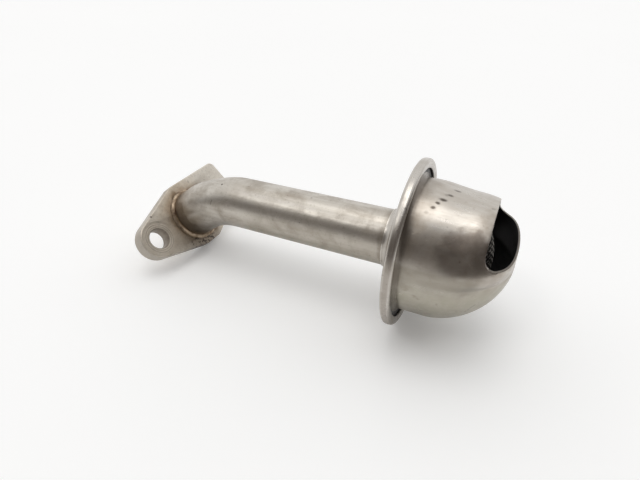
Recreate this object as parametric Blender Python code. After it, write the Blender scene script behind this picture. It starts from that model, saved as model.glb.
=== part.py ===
"""Oil pickup tube: a bolted flange, a bent suction tube and a round strainer with a wire screen.

The strainer frame is used throughout: X runs along the strainer's axis towards the closed end of
its bell, Z points to the side on which the bell's mouth opens, and the tube bends away from Z.
All lengths are in metres. At the end the whole part is laid down as it rests on a table.
"""

import math

import bmesh
import bpy
import numpy as np
from mathutils import Matrix, Vector
from mathutils.geometry import convex_hull_2d

FIT_GAP = 0.0003

# Suction tube
TUBE_RADIUS = 0.0110
TUBE_WALL = 0.0012
STRAIGHT_LENGTH = 0.0759
BEND_RADIUS = 0.0387
BEND_ANGLE = math.radians(36.4)
BEND_FLATTENING = 0.07
END_LENGTH = 0.0086
SPIGOT_LENGTH = 0.0060
SPIGOT_TAPER = 0.0020

# Mounting flange
FLANGE_THICKNESS = 0.0062
BOLT_SPACING = 0.0474
BOLT_HOLE_RADIUS = 0.0045
NEAR_LUG_RADIUS = 0.0088
FAR_LUG_RADIUS = 0.0075
FOOT_WALL = 0.0041
FOOT_LEFT = 0.0045
FOOT_RIGHT = 0.0030
SHOULDER_WALL = 0.0053
SHOULDER_ACROSS = 0.0020
HORN_RISE = 0.0004
HORN_REACH = 0.0057
CORNER_RADIUS = 0.0031
EDGE_CHAMFER = 0.0005
SPOT_FACE_EDGE = 0.0004
SPOT_FACE_DEPTH = 0.0003
SEAT_DEPTH = 0.0040
BRAZE_WIDTH = 0.0017
BRAZE_HEIGHT = 0.0017
BRAZE_EDGE = 0.0003

# Strainer cover, a pressed sheet with a neck and a rim rolled over the bell and the screen
RIM_WIDTH = 0.0067
COVER_SHEET = 0.0006
NECK_PROUD = 0.0004
NECK_REACH = 0.0082
NECK_FILLET = 0.0030
DISH_INSET = 0.00485
DISH_DEPTH = 0.0033
CRIMP_BEND = 0.0012
LIP_WIDTH = 0.00335
BEAD_RISE = 0.0004

# Strainer bell, deep drawn, fuller beside its mouth than underneath
BELL_RADIUS = 0.02515
BELL_SHEET = 0.0007
BELL_FILLET = 0.0020
BELL_OVERLAP = 0.0022
DOME_START = 0.0110
DOME_LENGTH = 0.0257
DOME_POWER_UNDER = 1.88
DOME_POWER_ABOVE = 3.6
FULLER_FROM = 0.0
FULLER_TO = 0.34
HOOD_SET_IN = 0.0018
HOOD_START = 0.0050
HOOD_END = 0.0210
HOOD_FROM = 0.10
HOOD_TO = 1.00

# Mouth, a notch through the crown of the bell
MOUTH_DEPTH = 0.00965
MOUTH_HEIGHT = 0.0094
MOUTH_FILLET = 0.0045
MOUTH_FALL = 0.09
MOUTH_TURN = math.radians(0.8)

# Woven wire screen, a dome clamped in the cover's rim
SCREEN_SHEET = 0.0003
SCREEN_SIDE_ROOM = 0.00295
SCREEN_CROWN_ROOM = 0.0067
SCREEN_DOME_LEAD = 0.0031
SCREEN_FILLET = 0.0015
SCREEN_RIM_BITE = 0.0003
GAP_COLUMNS = 20
GAP_ROWS = 6
GAP_SHARE = 0.70
GAP_TOP_ANGLE = math.radians(76)
WEAVE_RISE = 0.00015

# Facets
ROUND_SEGMENTS = 60
TUBE_SEGMENTS = 36
BEND_STEPS = 10
ARC_STEPS = 3
DOME_STEPS = 12
LUG_SEGMENTS = 36
CUTTER_MARGIN = 0.0020
SHARP_ANGLE = math.radians(35)

# Sizes that follow from the ones above
FOOT_HEIGHT = TUBE_RADIUS + FIT_GAP + FOOT_WALL
SHOULDER_HEIGHT = TUBE_RADIUS + FIT_GAP + SHOULDER_WALL
COVER_RADIUS = BELL_RADIUS + RIM_WIDTH
DISH_RADIUS = COVER_RADIUS - DISH_INSET
LIP_RADIUS = COVER_RADIUS - LIP_WIDTH
MOUTH_START = DOME_START + DOME_LENGTH - MOUTH_DEPTH
SCREEN_RADIUS = BELL_RADIUS - BELL_SHEET - SCREEN_SIDE_ROOM
SCREEN_STRAIGHT = DOME_START - SCREEN_DOME_LEAD
SCREEN_LENGTH = DOME_START + DOME_LENGTH - BELL_SHEET - SCREEN_CROWN_ROOM - SCREEN_STRAIGHT

# The stack in the rolled rim, from the cover's back face to the front of its lip
CRIMP_DEPTH = 2 * COVER_SHEET + SCREEN_SHEET + BELL_SHEET + 3 * FIT_GAP
BEAD_DEPTH = CRIMP_DEPTH + BEAD_RISE
CRIMP_BACK = -BEAD_DEPTH / 2
LIP_FRONT = CRIMP_BACK + CRIMP_DEPTH
SCREEN_BACK = CRIMP_BACK + COVER_SHEET + FIT_GAP
SCREEN_FRONT = SCREEN_BACK + SCREEN_SHEET
BELL_BACK = SCREEN_FRONT + FIT_GAP
BELL_FRONT = BELL_BACK + BELL_SHEET
BELL_FLANGE_RADIUS = LIP_RADIUS + BELL_OVERLAP
SCREEN_FLANGE_RADIUS = BELL_FLANGE_RADIUS - SCREEN_RIM_BITE
NECK_RADIUS = TUBE_RADIUS + NECK_PROUD
SPIGOT_RADIUS = NECK_RADIUS - COVER_SHEET - FIT_GAP
TUBE_BORE = TUBE_RADIUS - TUBE_WALL


def material(name, colour, roughness, metallic):
    """A plain Principled material."""
    made = bpy.data.materials.new(name)
    made.use_nodes = True
    shader = made.node_tree.nodes["Principled BSDF"]
    shader.inputs["Base Color"].default_value = (*colour, 1.0)
    shader.inputs["Roughness"].default_value = roughness
    shader.inputs["Metallic"].default_value = metallic
    made.diffuse_color = (*colour, 1.0)
    return made


def make_object(name, bm, surface, parent, matrix=None):
    """Turns a bmesh into a smooth-shaded object under its parent."""
    bmesh.ops.recalc_face_normals(bm, faces=bm.faces[:])
    mesh = bpy.data.meshes.new(name)
    bm.to_mesh(mesh)
    bm.free()
    mesh.shade_smooth()
    mesh.set_sharp_from_angle(angle=SHARP_ANGLE)
    if surface:
        mesh.materials.append(surface)
    made = bpy.data.objects.new(name, mesh)
    bpy.context.scene.collection.objects.link(made)
    made.parent = parent
    if matrix:
        made.matrix_local = matrix
    return made


def cut(target, cutter):
    """Subtracts a cutter, which stays in the scene as a wire guide."""
    cutter.display_type = "WIRE"
    cutter.hide_render = True
    modifier = target.modifiers.new(cutter.name, "BOOLEAN")
    modifier.operation = "DIFFERENCE"
    modifier.solver = "EXACT"
    modifier.object = cutter


def arc(centre, radius, start, end, steps=ARC_STEPS):
    """Points of an arc in a plane, from one angle in degrees to another."""
    angles = [math.radians(start + (end - start) * i / steps) for i in range(steps + 1)]
    return [(centre[0] + radius * math.cos(a), centre[1] + radius * math.sin(a)) for a in angles]


def offset_line(points, distance):
    """A line at a set distance to the right of another, mitred at its corners."""
    line = [Vector(p) for p in points]
    normals = []
    for start, end in zip(line, line[1:]):
        along = (end - start).normalized()
        normals.append(Vector((along.y, -along.x)))
    shifted = []
    for i, point in enumerate(line):
        before = normals[max(i - 1, 0)]
        after = normals[min(i, len(normals) - 1)]
        mean = (before + after).normalized()
        shifted.append(tuple(point + mean * distance / mean.dot(after)))
    return shifted


def ring_of(bm, rows, closed):
    """Joins rows of vertices, each either a full turn or a single pole, into a skin."""
    pairs = list(zip(rows, rows[1:]))
    if closed:
        pairs.append((rows[-1], rows[0]))
    for first, second in pairs:
        count = max(len(first), len(second))
        for i in range(count):
            j = (i + 1) % count
            corners = [first[i % len(first)], first[j % len(first)]]
            corners += [second[j % len(second)], second[i % len(second)]]
            bm.faces.new(list(dict.fromkeys(corners)))


def turned(section, segments, closed=True):
    """Turns a section about the X axis; section(angle) gives (x, radius) points."""
    bm = bmesh.new()
    turns = [2 * math.pi * i / segments for i in range(segments)]
    sections = [section(turn) for turn in turns]
    rows = []
    for k, (x, radius) in enumerate(sections[0]):
        if radius == 0:
            rows.append([bm.verts.new((x, 0, 0))])
            continue
        row = []
        for turn, points in zip(turns, sections):
            x, radius = points[k]
            row.append(bm.verts.new((x, radius * math.sin(turn), radius * math.cos(turn))))
        rows.append(row)
    ring_of(bm, rows, closed)
    return bm


def turned_cutter(name, profile, parent, across, up):
    """A round cutter of (depth, radius) points that stands on a flange at a given place."""
    ends = [(profile[0][0], 0), *profile, (profile[-1][0], 0)]
    bm = turned(lambda turn: ends, LUG_SEGMENTS, closed=False)
    stand = Matrix.Translation((across, up, 0)) @ Matrix.Rotation(-math.pi / 2, 4, "Y")
    return make_object(name, bm, None, parent, stand)


def tube_stations():
    """Centre, direction, flattening and radii of the tube's cross sections, strainer end first."""
    neck_end = -NECK_REACH
    shoulder = neck_end - FIT_GAP
    tip = neck_end + SPIGOT_LENGTH
    spigot_bore = SPIGOT_RADIUS - TUBE_WALL
    along = Vector((-1, 0, 0))
    stations = [
        (Vector((tip, 0, 0)), along, 0, SPIGOT_RADIUS, spigot_bore),
        (Vector((shoulder, 0, 0)), along, 0, SPIGOT_RADIUS, spigot_bore),
        (Vector((shoulder, 0, 0)), along, 0, TUBE_RADIUS, None),
        (Vector((shoulder - SPIGOT_TAPER, 0, 0)), along, 0, TUBE_RADIUS, TUBE_BORE),
    ]
    for i in range(BEND_STEPS + 1):
        share = i / BEND_STEPS
        turn = BEND_ANGLE * share
        centre = Vector((-STRAIGHT_LENGTH, 0, 0))
        centre += BEND_RADIUS * Vector((-math.sin(turn), 0, math.cos(turn) - 1))
        heading = Vector((-math.cos(turn), 0, -math.sin(turn)))
        flattening = BEND_FLATTENING * math.sin(math.pi * share) ** 2
        stations.append((centre, heading, flattening, TUBE_RADIUS, TUBE_BORE))
    end = stations[-1][0] + stations[-1][1] * (END_LENGTH + SEAT_DEPTH - FIT_GAP)
    stations.append((end, stations[-1][1], 0, TUBE_RADIUS, TUBE_BORE))
    return stations


def flange_matrix():
    """Place of the flange: X to the near bolt, Y up its face, Z from its tube side into it."""
    centre, heading = tube_stations()[-2][:2]
    across = Vector((0, -1, 0))
    up = heading.cross(across)
    turn = Matrix((across, up, heading)).transposed().to_4x4()
    return Matrix.Translation(centre + heading * END_LENGTH) @ turn


def build_tube(parent):
    """Bent tube, a little flattened outside its bend, with one end swaged to enter the neck."""
    bm = bmesh.new()
    side = Vector((0, 1, 0))
    outer_rows = []
    inner_rows = []
    for centre, heading, flattening, outer, inner in tube_stations():
        outward = side.cross(heading)
        for radius, rows in ((outer, outer_rows), (inner, inner_rows)):
            if radius is None:
                continue
            row = []
            for i in range(TUBE_SEGMENTS):
                turn = 2 * math.pi * i / TUBE_SEGMENTS
                lift = math.cos(turn)
                if lift > 0:
                    lift *= 1 - flattening
                spot = centre + radius * (lift * outward + math.sin(turn) * side)
                row.append(bm.verts.new(spot))
            rows.append(row)
    ring_of(bm, outer_rows + inner_rows[::-1], closed=True)
    steel = material("tube_steel", (0.56, 0.53, 0.50), 0.32, 1.0)
    return make_object("pickup_tube", bm, steel, parent)


def flange_outline():
    """Outline of the flange as the hull of round corners, each a centre and a radius."""
    half = BOLT_SPACING / 2
    horn_height = SHOULDER_HEIGHT + HORN_RISE
    corners = [
        (half, 0, NEAR_LUG_RADIUS),
        (SHOULDER_ACROSS, SHOULDER_HEIGHT - CORNER_RADIUS, CORNER_RADIUS),
        (CORNER_RADIUS - half - HORN_REACH, horn_height - CORNER_RADIUS, CORNER_RADIUS),
        (-half, 0, FAR_LUG_RADIUS),
        (-FOOT_LEFT, CORNER_RADIUS - FOOT_HEIGHT, CORNER_RADIUS),
        (FOOT_RIGHT, CORNER_RADIUS - FOOT_HEIGHT, CORNER_RADIUS),
    ]
    points = []
    for x, y, radius in corners:
        points += arc((x, y), radius, 0, 360, LUG_SEGMENTS)[:-1]
    return [points[i] for i in convex_hull_2d(points)]


def build_flange(parent):
    """Thick plate with two bolt holes and a stepped bore that seats the tube."""
    bm = bmesh.new()
    face = bm.faces.new([bm.verts.new((x, y, 0)) for x, y in flange_outline()])
    grown = bmesh.ops.extrude_face_region(bm, geom=[face])["geom"]
    raised = [item for item in grown if isinstance(item, bmesh.types.BMVert)]
    bmesh.ops.translate(bm, verts=raised, vec=(0, 0, FLANGE_THICKNESS))
    rims = [edge for edge in bm.edges if edge.verts[0].co.z == edge.verts[1].co.z]
    bmesh.ops.bevel(bm, geom=rims, offset=EDGE_CHAMFER, segments=2, profile=0.5, affect="EDGES")
    steel = material("flange_steel", (0.50, 0.46, 0.41), 0.45, 1.0)
    flange = make_object("mounting_flange", bm, steel, parent, flange_matrix())

    below = FLANGE_THICKNESS + CUTTER_MARGIN
    seat = TUBE_RADIUS + FIT_GAP
    bore = [
        (-CUTTER_MARGIN, seat),
        (SEAT_DEPTH, seat),
        (SEAT_DEPTH, TUBE_BORE),
        (FLANGE_THICKNESS - EDGE_CHAMFER, TUBE_BORE),
        (below, TUBE_BORE + EDGE_CHAMFER + CUTTER_MARGIN),
    ]
    cut(flange, turned_cutter("bore_cutter", bore, flange, 0, 0))
    for side, lug, name in ((1, NEAR_LUG_RADIUS, "near_bolt"), (-1, FAR_LUG_RADIUS, "far_bolt")):
        spot_face = lug - EDGE_CHAMFER - SPOT_FACE_EDGE
        hole = [
            (-CUTTER_MARGIN, spot_face),
            (SPOT_FACE_DEPTH, spot_face),
            (SPOT_FACE_DEPTH, BOLT_HOLE_RADIUS + EDGE_CHAMFER),
            (SPOT_FACE_DEPTH + EDGE_CHAMFER, BOLT_HOLE_RADIUS),
            (FLANGE_THICKNESS - EDGE_CHAMFER, BOLT_HOLE_RADIUS),
            (below, BOLT_HOLE_RADIUS + EDGE_CHAMFER + CUTTER_MARGIN),
        ]
        cut(flange, turned_cutter(name, hole, flange, side * BOLT_SPACING / 2, 0))
    return flange


def build_braze(parent):
    """Hollow-faced fillet of braze round the tube where it enters the flange."""
    inner = TUBE_RADIUS + FIT_GAP
    foot = FIT_GAP + BRAZE_EDGE
    curve = arc((foot + BRAZE_HEIGHT, inner + BRAZE_WIDTH), 1, 180, 270)
    hollow = []
    for x, radius in curve:
        depth = foot + BRAZE_HEIGHT + (x - foot - BRAZE_HEIGHT) * (BRAZE_HEIGHT - BRAZE_EDGE)
        reach = inner + BRAZE_WIDTH + (radius - inner - BRAZE_WIDTH) * (BRAZE_WIDTH - BRAZE_EDGE)
        hollow.append((depth, reach))
    profile = [(FIT_GAP, inner), (FIT_GAP, inner + BRAZE_WIDTH), *hollow, (hollow[-1][0], inner)]
    bm = turned(lambda turn: profile, LUG_SEGMENTS)
    metal = material("braze_metal", (0.48, 0.36, 0.22), 0.45, 1.0)
    stand = flange_matrix() @ Matrix.Rotation(math.pi / 2, 4, "Y")
    return make_object("flange_braze", bm, metal, parent, stand)


def cover_line():
    """Back surface of the cover's sheet, from the end of its neck to the end of its lip."""
    fillet_start = CRIMP_BACK - DISH_DEPTH - NECK_FILLET
    fillet_centre = NECK_RADIUS + NECK_FILLET
    slope = math.degrees(math.atan2(DISH_DEPTH, DISH_RADIUS - fillet_centre))
    outer = COVER_RADIUS - CRIMP_BEND
    back = CRIMP_BACK + CRIMP_BEND
    line = [(-NECK_REACH, NECK_RADIUS)]
    line += arc((fillet_start, fillet_centre), NECK_FILLET, -90, -slope)
    line += [(CRIMP_BACK, DISH_RADIUS)]
    line += arc((back, outer), CRIMP_BEND, 180, 90)
    line += arc((-back, outer), CRIMP_BEND, 90, 0)
    line += [(LIP_FRONT, LIP_RADIUS)]
    return line


def build_cover(parent):
    """Pressed cover with a short neck, a dished back and a rim rolled over to the front."""
    line = cover_line()
    profile = line + offset_line(line, COVER_SHEET)[::-1]
    bm = turned(lambda turn: profile, ROUND_SEGMENTS)
    steel = material("cover_steel", (0.58, 0.55, 0.51), 0.30, 1.0)
    return make_object("strainer_cover", bm, steel, parent)


def smooth_step(value):
    """Eases from 0 to 1."""
    value = min(max(value, 0), 1)
    return value * value * (3 - 2 * value)


def dome_power(height):
    """Exponent of the dome's meridian; 2 is an ellipse, and more is fuller, as above the middle."""
    share = smooth_step((height - FULLER_FROM) / (FULLER_TO - FULLER_FROM))
    return DOME_POWER_UNDER + (DOME_POWER_ABOVE - DOME_POWER_UNDER) * share


def hood_set_in(height, x):
    """How far the hood over the mouth lies inside the dome's meridian, which makes it straighter."""
    share = smooth_step((height - HOOD_FROM) / (HOOD_TO - HOOD_FROM))
    return HOOD_SET_IN * share * smooth_step((x - HOOD_START) / (HOOD_END - HOOD_START))


def dome(turn, radius, length):
    """Meridian of the dome from its start to its pole; heights are shares of its radius."""
    points = []
    for i in range(1, DOME_STEPS):
        t = math.pi / 2 * i / DOME_STEPS
        height = math.cos(t) * math.cos(turn)
        power = 2 / dome_power(height)
        x = DOME_START + length * math.sin(t) ** power
        points.append((x, radius * math.cos(t) ** power - hood_set_in(height, x)))
    return points + [(DOME_START + length, 0)]


def bell_section(turn):
    """Section of the bell from its inner pole, out round its flange, to its outer pole."""
    root = BELL_RADIUS + BELL_FILLET
    bend = (BELL_FRONT + BELL_FILLET, root)
    inner_radius = BELL_RADIUS - BELL_SHEET
    outside = [(BELL_FRONT, BELL_FLANGE_RADIUS), *arc(bend, BELL_FILLET, 180, 270)]
    outside += [(DOME_START, BELL_RADIUS), *dome(turn, BELL_RADIUS, DOME_LENGTH)]
    inside = [(BELL_BACK, BELL_FLANGE_RADIUS), *arc(bend, BELL_FILLET + BELL_SHEET, 180, 270)]
    inside += [(DOME_START, inner_radius), *dome(turn, inner_radius, DOME_LENGTH - BELL_SHEET)]
    return inside[::-1] + outside


def mouth_cutter(parent):
    """Prism that takes out the corner of the crown, with a rounded inner corner."""
    far = DOME_START + DOME_LENGTH + CUTTER_MARGIN
    top = BELL_RADIUS + CUTTER_MARGIN
    flat_start = MOUTH_START + MOUTH_FILLET
    line = [(MOUTH_START, top)]
    line += arc((flat_start, MOUTH_HEIGHT + MOUTH_FILLET), MOUTH_FILLET, 180, 270, 2 * ARC_STEPS)
    line += [(far, MOUTH_HEIGHT - MOUTH_FALL * (far - flat_start)), (far, top)]
    bm = bmesh.new()
    face = bm.faces.new([bm.verts.new((x, -top, z)) for x, z in line])
    grown = bmesh.ops.extrude_face_region(bm, geom=[face])["geom"]
    moved = [item for item in grown if isinstance(item, bmesh.types.BMVert)]
    bmesh.ops.translate(bm, verts=moved, vec=(0, 2 * top, 0))
    return make_object("mouth_cutter", bm, None, parent, Matrix.Rotation(-MOUTH_TURN, 4, "Z"))


def build_bell(parent):
    """Deep-drawn bell with a flange at its rim and a notch for its mouth."""
    bm = turned(bell_section, ROUND_SEGMENTS, closed=False)
    steel = material("bell_steel", (0.55, 0.51, 0.46), 0.28, 1.0)
    bell = make_object("strainer_bell", bm, steel, parent)
    cut(bell, mouth_cutter(parent))
    return bell


def screen_meridian():
    """Outer meridian of the screen from its rim to its pole, and which of its spans hold gaps."""
    line = [(SCREEN_FRONT, SCREEN_FLANGE_RADIUS)]
    bend = (SCREEN_FRONT + SCREEN_FILLET, SCREEN_RADIUS + SCREEN_FILLET)
    line += arc(bend, SCREEN_FILLET, 180, 270)
    straight = SCREEN_STRAIGHT - line[-1][0]
    length = straight + SCREEN_LENGTH * GAP_TOP_ANGLE
    pitch = length / GAP_ROWS
    open_spans = []
    for row in range(GAP_ROWS):
        start = row * pitch + (1 - GAP_SHARE) * pitch
        for reach in (start, (row + 1) * pitch):
            climb = max(reach - straight, 0) / SCREEN_LENGTH
            x = SCREEN_STRAIGHT + min(reach - straight, 0) + SCREEN_LENGTH * math.sin(climb)
            line.append((x, SCREEN_RADIUS * math.cos(climb)))
        open_spans.append(len(line) - 2)
    last_bar = GAP_TOP_ANGLE + (1 - GAP_SHARE) * pitch / SCREEN_LENGTH
    last_x = SCREEN_STRAIGHT + SCREEN_LENGTH * math.sin(last_bar)
    line.append((last_x, SCREEN_RADIUS * math.cos(last_bar)))
    return line, open_spans


def build_screen(parent):
    """Woven screen: a domed wall whose wires cross over and under between square gaps."""
    bm = bmesh.new()
    outer_line, open_spans = screen_meridian()
    inner_line = offset_line(outer_line, SCREEN_SHEET)
    pitch = 2 * math.pi / GAP_COLUMNS
    turns = []
    for column in range(GAP_COLUMNS):
        turns += [column * pitch, (column + GAP_SHARE) * pitch]
    skins = []
    for line in (outer_line, inner_line):
        skin = []
        for k, (x, radius) in enumerate(line):
            crossing = (k - open_spans[0] + 1) // 2
            in_weave = open_spans[0] <= k <= open_spans[-1] + 1
            row = []
            for i, turn in enumerate(turns):
                lift = WEAVE_RISE if in_weave else 0
                if (crossing + (i + 1) // 2) % 2:
                    lift = -lift
                reach = radius + lift
                row.append(bm.verts.new((x, reach * math.sin(turn), reach * math.cos(turn))))
            skin.append(row)
        skins.append(skin)
    count = len(turns)
    for k in range(len(outer_line) - 1):
        for i in range(count):
            j = (i + 1) % count
            quads = [[s[k][i], s[k][j], s[k + 1][j], s[k + 1][i]] for s in skins]
            if k in open_spans and i % 2 == 0:
                outer, inner = quads
                for a in range(4):
                    b = (a + 1) % 4
                    bm.faces.new([outer[a], outer[b], inner[b], inner[a]])
            else:
                for quad in quads:
                    bm.faces.new(quad)
    ring_of(bm, [skins[0][0], skins[1][0]], closed=False)
    for skin, line in zip(skins, (outer_line, inner_line)):
        pole_x = SCREEN_STRAIGHT + SCREEN_LENGTH - (SCREEN_SHEET if skin is skins[1] else 0)
        ring_of(bm, [skin[-1], [bm.verts.new((pole_x, 0, 0))]], closed=False)
    wire = material("screen_wire", (0.20, 0.19, 0.18), 0.45, 1.0)
    return make_object("wire_screen", bm, wire, parent)


def solid_points(objects, root):
    """Every evaluated corner in the root's frame, and the whole part's centre of mass."""
    depsgraph = bpy.context.evaluated_depsgraph_get()
    to_root = root.matrix_world.inverted()
    corners = []
    moment = np.zeros(3)
    volume = 0.0
    for item in objects:
        evaluated = item.evaluated_get(depsgraph)
        mesh = evaluated.to_mesh()
        mesh.calc_loop_triangles()
        place = np.array(to_root @ evaluated.matrix_world)
        spots = np.array([vertex.co for vertex in mesh.vertices])
        spots = spots @ place[:3, :3].T + place[:3, 3]
        a, b, c = (spots[[tri.vertices[k] for tri in mesh.loop_triangles]] for k in range(3))
        parts = np.einsum("ij,ij->i", a, np.cross(b, c)) / 6
        moment += (parts[:, None] * (a + b + c) / 4).sum(axis=0)
        volume += parts.sum()
        corners.append(spots)
        evaluated.to_mesh_clear()
    return np.vstack(corners), moment / volume


def resting_normal(corners, centre):
    """Outward normal of the hull face that the part rests on, nearest to straight below."""
    bm = bmesh.new()
    for corner in corners:
        bm.verts.new(corner)
    hull = bmesh.ops.convex_hull(bm, input=bm.verts[:], use_existing_faces=False)
    best = Vector((0, 0, -1))
    best_match = -1.0
    middle = Vector(centre)
    for face in (item for item in hull["geom"] if isinstance(item, bmesh.types.BMFace)):
        a, b, c = (vertex.co for vertex in face.verts[:3])
        normal = (b - a).cross(c - a).normalized()
        if normal.dot(a - middle) < 0:
            normal = -normal
        foot = middle + normal * normal.dot(a - middle)
        sides = [(q - p).cross(foot - p).dot(normal) for p, q in ((a, b), (b, c), (c, a))]
        inside = min(sides) >= 0 or max(sides) <= 0
        if inside and -normal.z > best_match:
            best_match = -normal.z
            best = normal.copy()
    bm.free()
    return best


def lay_down(root, objects):
    """Turns the part onto the face it rests on, centred over the origin with its base at Z 0."""
    bpy.context.view_layer.update()
    corners, centre = solid_points(objects, root)
    turn = resting_normal(corners, centre).rotation_difference(Vector((0, 0, -1))).to_matrix()
    turned_corners = corners @ np.array(turn).T
    low = turned_corners.min(axis=0)
    high = turned_corners.max(axis=0)
    shift = Vector((-(low[0] + high[0]) / 2, -(low[1] + high[1]) / 2, -low[2]))
    root.matrix_world = Matrix.Translation(shift) @ turn.to_4x4()


def build():
    """Builds every piece under one empty and lays the part down."""
    for item in list(bpy.data.objects):
        bpy.data.objects.remove(item, do_unlink=True)
    root = bpy.data.objects.new("oil_pickup", None)
    bpy.context.scene.collection.objects.link(root)
    builders = (build_flange, build_braze, build_tube, build_cover, build_screen, build_bell)
    objects = [builder(root) for builder in builders]
    lay_down(root, objects)


build()
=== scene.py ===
"""Looks of the oil pickup tube: stained satin steel, a brazed flange and a fine woven screen.

Positions in the materials and the screen use the strainer's own frame: X along its axis towards
the closed end of the bell and Z to the side of the mouth. The part lies on the floor slightly
tipped from that frame. All lengths are in metres.
"""

import math

import bmesh
import bpy
from mathutils import Matrix, Vector, noise


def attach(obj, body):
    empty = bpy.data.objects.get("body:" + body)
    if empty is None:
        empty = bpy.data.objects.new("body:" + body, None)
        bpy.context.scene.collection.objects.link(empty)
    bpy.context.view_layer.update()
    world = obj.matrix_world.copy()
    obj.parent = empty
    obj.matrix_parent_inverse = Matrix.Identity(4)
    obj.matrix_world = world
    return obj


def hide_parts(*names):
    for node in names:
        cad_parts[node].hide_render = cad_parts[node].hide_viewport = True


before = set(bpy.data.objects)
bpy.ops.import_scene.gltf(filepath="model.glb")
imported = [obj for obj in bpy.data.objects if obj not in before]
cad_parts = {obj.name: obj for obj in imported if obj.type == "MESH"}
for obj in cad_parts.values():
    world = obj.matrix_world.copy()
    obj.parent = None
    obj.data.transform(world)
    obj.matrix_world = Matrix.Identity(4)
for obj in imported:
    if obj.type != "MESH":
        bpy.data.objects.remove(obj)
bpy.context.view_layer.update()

# Where the strainer's frame lies in the scene
REST_TILT = math.asin(0.032897)
REST_SHIFT = Vector((0.041914, 0.000325, 0.031851))
REST = Matrix.Translation(REST_SHIFT) @ Matrix.Rotation(-REST_TILT, 4, "Y")

# Camera, fitted to the photo's outlines, in the strainer's frame
CAMERA_PLACE = Vector((0.026597, -0.132282, 0.090271))
CAMERA_RIGHT = Vector((0.90251, 0.43041, -0.01525))
CAMERA_DOWN = Vector((0.23011, -0.51184, -0.82769))
CAMERA_FORWARD = Vector((-0.36405, 0.74348, -0.56098))
FOCAL_PIXELS = 419.27
PHOTO_WIDTH = 640

# Light
FLOOR_LIFT = 0.16
BACKDROP = 0.95
LAMPS = {
    "overhead": ((-0.10, 0.05, 1.0), 0.44, math.radians(34)),
    "window_side": ((-0.50, -0.62, 1.0), 0.17, math.radians(14)),
}
BRIGHT_SIDE = (-0.8, 1.3, 1.15)
DIM_AT = 0.1
BRIGHT_AT = 1.0
DIM_COLOUR = (0.15, 0.135, 0.125, 1.0)
BRIGHT_COLOUR = (1.04, 1.05, 1.06, 1.0)

# Marks seen in the photo, in the strainer's frame: place or (along, turn), size and strength
DARK_SPOTS = [
    (0.00627, -31.1, 1.2, 0.3),
    (0.00788, -25.7, 1.3, 0.85),
    (0.00871, -20.3, 1.3, 0.85),
    (0.00998, -15.7, 2.1, 0.85),
    (0.01184, -8.3, 1.6, 0.7),
    (0.01060, -9.5, 1.2, 0.3),
    (0.01332, 1.7, 1.8, 0.6),
]
SPOT_REACH = 0.00062
BROWN_STAINS = [
    ((0.0192, -0.0154, 0.0175), 0.0026, 0.60),
    ((0.0232, -0.0154, 0.0168), 0.0026, 0.65),
    ((0.0160, -0.0176, 0.0162), 0.0026, 0.50),
    ((0.0200, -0.0178, 0.0142), 0.0036, 0.65),
    ((0.0248, -0.0172, 0.0130), 0.0036, 0.65),
    ((0.0150, -0.0198, 0.0130), 0.0036, 0.45),
    ((0.0268, -0.0156, 0.0142), 0.0024, 0.60),
    ((0.0272, -0.0158, 0.0120), 0.0024, 0.50),
    ((0.0190, -0.0215, 0.0090), 0.0048, 0.45),
    ((0.0250, -0.0200, 0.0085), 0.0042, 0.45),
]
SCRATCH = [(0.0249, -0.0179, -0.0100), (0.0256, -0.0179, -0.0090), (0.0261, -0.0180, -0.0080),
           (0.0265, -0.0179, -0.0073), (0.0270, -0.0177, -0.0066)]
TUBE_MARKS = [((-0.08269, -0.00401, 0.00943), 0.00045, 0.95)]
# Darker patches beneath the bend: place, size and strength
BEND_DARKENING = [
    ((-0.1000, -0.0096, -0.0125), 0.0050, 0.45),
    ((-0.0960, -0.0075, -0.0150), 0.0055, 0.50),
    ((-0.0900, -0.0075, -0.0135), 0.0055, 0.50),
    ((-0.0830, -0.0075, -0.0110), 0.0055, 0.45),
    ((-0.0760, -0.0075, -0.0090), 0.0050, 0.35),
]
FLANGE_MARKS = [((-0.11158, -0.02068, -0.00479), 0.00045, 0.9)]
BOLT_HOLES = [(-0.10820, -0.0237, -0.01447), (-0.10820, 0.0237, -0.01447)]
RING_PITCH = 0.00085
FLANGE_CRUST = (-0.0981, -0.0048, -0.0235)

# Sizes of the part's source that the looks repeat
FIT_GAP = 0.0003
TUBE_RADIUS = 0.0110
TUBE_WALL = 0.0012
STRAIGHT_LENGTH = 0.0759
BEND_RADIUS = 0.0387
BEND_ANGLE = math.radians(36.4)
BEND_FLATTENING = 0.07
END_LENGTH = 0.0086
SEAT_DEPTH = 0.0040
SPIGOT_LENGTH = 0.0060
SPIGOT_TAPER = 0.0020
COVER_SHEET = 0.0006
RIM_WIDTH = 0.0067
NECK_PROUD = 0.0004
NECK_REACH = 0.0082
NECK_FILLET = 0.0030
DISH_INSET = 0.00485
DISH_DEPTH = 0.0033
CRIMP_BEND = 0.0012
LIP_WIDTH = 0.00335
BEAD_RISE = 0.0004
BELL_RADIUS = 0.02515
BELL_SHEET = 0.0007
BELL_FILLET = 0.0020
BELL_OVERLAP = 0.0022
DOME_START = 0.0110
DOME_LENGTH = 0.0257
DOME_POWER_UNDER = 1.88
DOME_POWER_ABOVE = 3.6
FULLER_TO = 0.34
HOOD_SET_IN = 0.0018
HOOD_START = 0.0050
HOOD_END = 0.0210
HOOD_FROM = 0.10
HOOD_TO = 1.00
MOUTH_DEPTH = 0.00965
MOUTH_HEIGHT = 0.0094
MOUTH_FILLET = 0.0045
MOUTH_FALL = 0.09
MOUTH_TURN = math.radians(0.8)
FLANGE_CENTRE = Vector((-0.10572, 0, -0.01263))
FLANGE_AXIS = Vector((math.cos(BEND_ANGLE), 0, math.sin(BEND_ANGLE)))
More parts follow.
